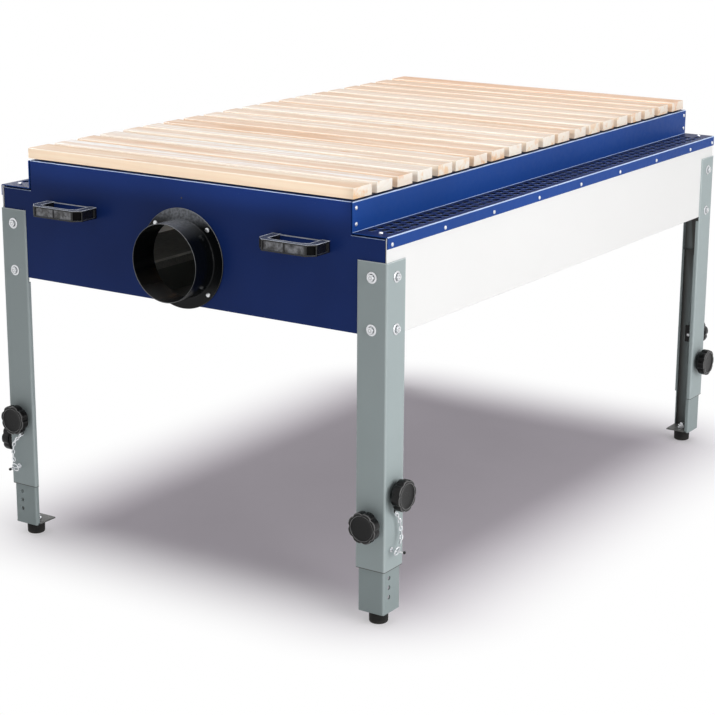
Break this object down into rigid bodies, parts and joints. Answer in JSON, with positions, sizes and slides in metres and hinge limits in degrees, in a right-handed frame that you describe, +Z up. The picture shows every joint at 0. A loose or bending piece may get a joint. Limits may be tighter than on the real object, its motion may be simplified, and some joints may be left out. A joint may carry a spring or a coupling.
{
  "type": "downdraft table",
  "caption": "Downdraft sanding and grinding table: slatted wooden top over a sheet-steel suction box with perforated ledges, a hose spigot and telescopic legs.",
  "frame": {"origin": "on the floor under the middle of the outline", "axes": "+X along the table away from the spigot, +Z up, the front at -Y"},
  "size_m": [1.5952, 1.0366, 0.8675],
  "materials": {
    "blue_panel": "glossy dark blue powder coat",
    "white_panel": "satin white powder coat",
    "leg_grey": "satin grey-green paint",
    "inner_leg_grey": "satin grey-green paint, a little darker",
    "duct_black": "glossy black paint",
    "black_plastic": "moulded, fine grain",
    "rubber": "matt",
    "zinc": "bright zinc plate",
    "slat_wood": "planed pale hardwood, unvarnished"
  },
  "bodies": {
    "root": {"duct_end_panel": "blue_panel", "far_end_panel": "blue_panel", "front_side_panel": "white_panel", "rear_side_panel": "white_panel", "front_ledge_panel": "blue_panel", "rear_ledge_panel": "blue_panel", "floor_pan": "blue_panel", "duct_spigot": "duct_black", "front_carry_handle": "black_plastic", "rear_carry_handle": "black_plastic", "duct_front_outer_leg": "leg_grey", "duct_rear_outer_leg": "leg_grey", "far_rear_outer_leg": "leg_grey", "far_front_outer_leg": "leg_grey", "duct_front_pin_chain": "zinc", "duct_rear_pin_chain": "zinc", "far_rear_pin_chain": "zinc", "far_front_pin_chain": "zinc"},
    "slat_grate": {"slat_01": "slat_wood", "slat_02": "slat_wood", "slat_03": "slat_wood", "slat_04": "slat_wood", "slat_05": "slat_wood", "slat_06": "slat_wood", "slat_07": "slat_wood", "slat_08": "slat_wood", "slat_09": "slat_wood", "slat_10": "slat_wood", "slat_11": "slat_wood", "slat_12": "slat_wood", "slat_13": "slat_wood", "slat_14": "slat_wood", "slat_15": "slat_wood", "slat_16": "slat_wood", "slat_17": "slat_wood", "slat_18": "slat_wood", "slat_19": "slat_wood", "slat_20": "slat_wood", "front_slat_bearer": "zinc", "rear_slat_bearer": "zinc"},
    "duct_front_leg": {"duct_front_inner_leg": "inner_leg_grey", "duct_front_foot": "rubber"},
    "duct_front_upper_knob": {"duct_front_upper_knob": "black_plastic"},
    "duct_front_lower_knob": {"duct_front_lower_knob": "black_plastic"},
    "duct_front_lock_pin": {"duct_front_lock_pin": "zinc"},
    "duct_rear_leg": {"duct_rear_inner_leg": "inner_leg_grey", "duct_rear_foot": "rubber"},
    "duct_rear_upper_knob": {"duct_rear_upper_knob": "black_plastic"},
    "duct_rear_lower_knob": {"duct_rear_lower_knob": "black_plastic"},
    "duct_rear_lock_pin": {"duct_rear_lock_pin": "zinc"},
    "far_rear_leg": {"far_rear_inner_leg": "inner_leg_grey", "far_rear_foot": "rubber"},
    "far_rear_upper_knob": {"far_rear_upper_knob": "black_plastic"},
    "far_rear_lower_knob": {"far_rear_lower_knob": "black_plastic"},
    "far_rear_lock_pin": {"far_rear_lock_pin": "zinc"},
    "far_front_leg": {"far_front_inner_leg": "inner_leg_grey", "far_front_foot": "rubber"},
    "far_front_upper_knob": {"far_front_upper_knob": "black_plastic"},
    "far_front_lower_knob": {"far_front_lower_knob": "black_plastic"},
    "far_front_lock_pin": {"far_front_lock_pin": "zinc"}
  },
  "joints": [
    {"name": "slat_grate_lift", "type": "slide", "parent": "root", "child": "slat_grate", "axis": [0, 0, 1], "range_m": [0, 0.06]},
    {"name": "duct_front_leg_slide", "type": "slide", "parent": "root", "child": "duct_front_leg", "axis": [0, 0, 1], "range_m": [-0.08, 0.08]},
    {"name": "duct_front_upper_knob_turn", "type": "hinge", "parent": "root", "child": "duct_front_upper_knob", "pos_m": [-0.70695, -0.4863, 0.2735], "axis": [0, -1, 0], "range_deg": [0, 360]},
    {"name": "duct_front_lower_knob_turn", "type": "hinge", "parent": "root", "child": "duct_front_lower_knob", "pos_m": [-0.74095, -0.4523, 0.213], "axis": [-1, 0, 0], "range_deg": [0, 360]},
    {"name": "duct_front_lock_pin_pull", "type": "slide", "parent": "root", "child": "duct_front_lock_pin", "axis": [0, -1, 0], "range_m": [0, 0.03]},
    {"name": "duct_rear_leg_slide", "type": "slide", "parent": "root", "child": "duct_rear_leg", "axis": [0, 0, 1], "range_m": [-0.08, 0.08]},
    {"name": "duct_rear_upper_knob_turn", "type": "hinge", "parent": "root", "child": "duct_rear_upper_knob", "pos_m": [-0.74095, 0.4523, 0.2735], "axis": [-1, 0, 0], "range_deg": [0, 360]},
    {"name": "duct_rear_lower_knob_turn", "type": "hinge", "parent": "root", "child": "duct_rear_lower_knob", "pos_m": [-0.70695, 0.4863, 0.213], "axis": [0, 1, 0], "range_deg": [0, 360]},
    {"name": "duct_rear_lock_pin_pull", "type": "slide", "parent": "root", "child": "duct_rear_lock_pin", "axis": [-1, 0, 0], "range_m": [0, 0.03]},
    {"name": "far_rear_leg_slide", "type": "slide", "parent": "root", "child": "far_rear_leg", "axis": [0, 0, 1], "range_m": [-0.08, 0.08]},
    {"name": "far_rear_upper_knob_turn", "type": "hinge", "parent": "root", "child": "far_rear_upper_knob", "pos_m": [0.73165, 0.4863, 0.2735], "axis": [0, 1, 0], "range_deg": [0, 360]},
    {"name": "far_rear_lower_knob_turn", "type": "hinge", "parent": "root", "child": "far_rear_lower_knob", "pos_m": [0.76565, 0.4523, 0.213], "axis": [1, 0, 0], "range_deg": [0, 360]},
    {"name": "far_rear_lock_pin_pull", "type": "slide", "parent": "root", "child": "far_rear_lock_pin", "axis": [0, 1, 0], "range_m": [0, 0.03]},
    {"name": "far_front_leg_slide", "type": "slide", "parent": "root", "child": "far_front_leg", "axis": [0, 0, 1], "range_m": [-0.08, 0.08]},
    {"name": "far_front_upper_knob_turn", "type": "hinge", "parent": "root", "child": "far_front_upper_knob", "pos_m": [0.76565, -0.4523, 0.2735], "axis": [1, 0, 0], "range_deg": [0, 360]},
    {"name": "far_front_lower_knob_turn", "type": "hinge", "parent": "root", "child": "far_front_lower_knob", "pos_m": [0.73165, -0.4863, 0.213], "axis": [0, -1, 0], "range_deg": [0, 360]},
    {"name": "far_front_lock_pin_pull", "type": "slide", "parent": "root", "child": "far_front_lock_pin", "axis": [1, 0, 0], "range_m": [0, 0.03]}
  ]
}
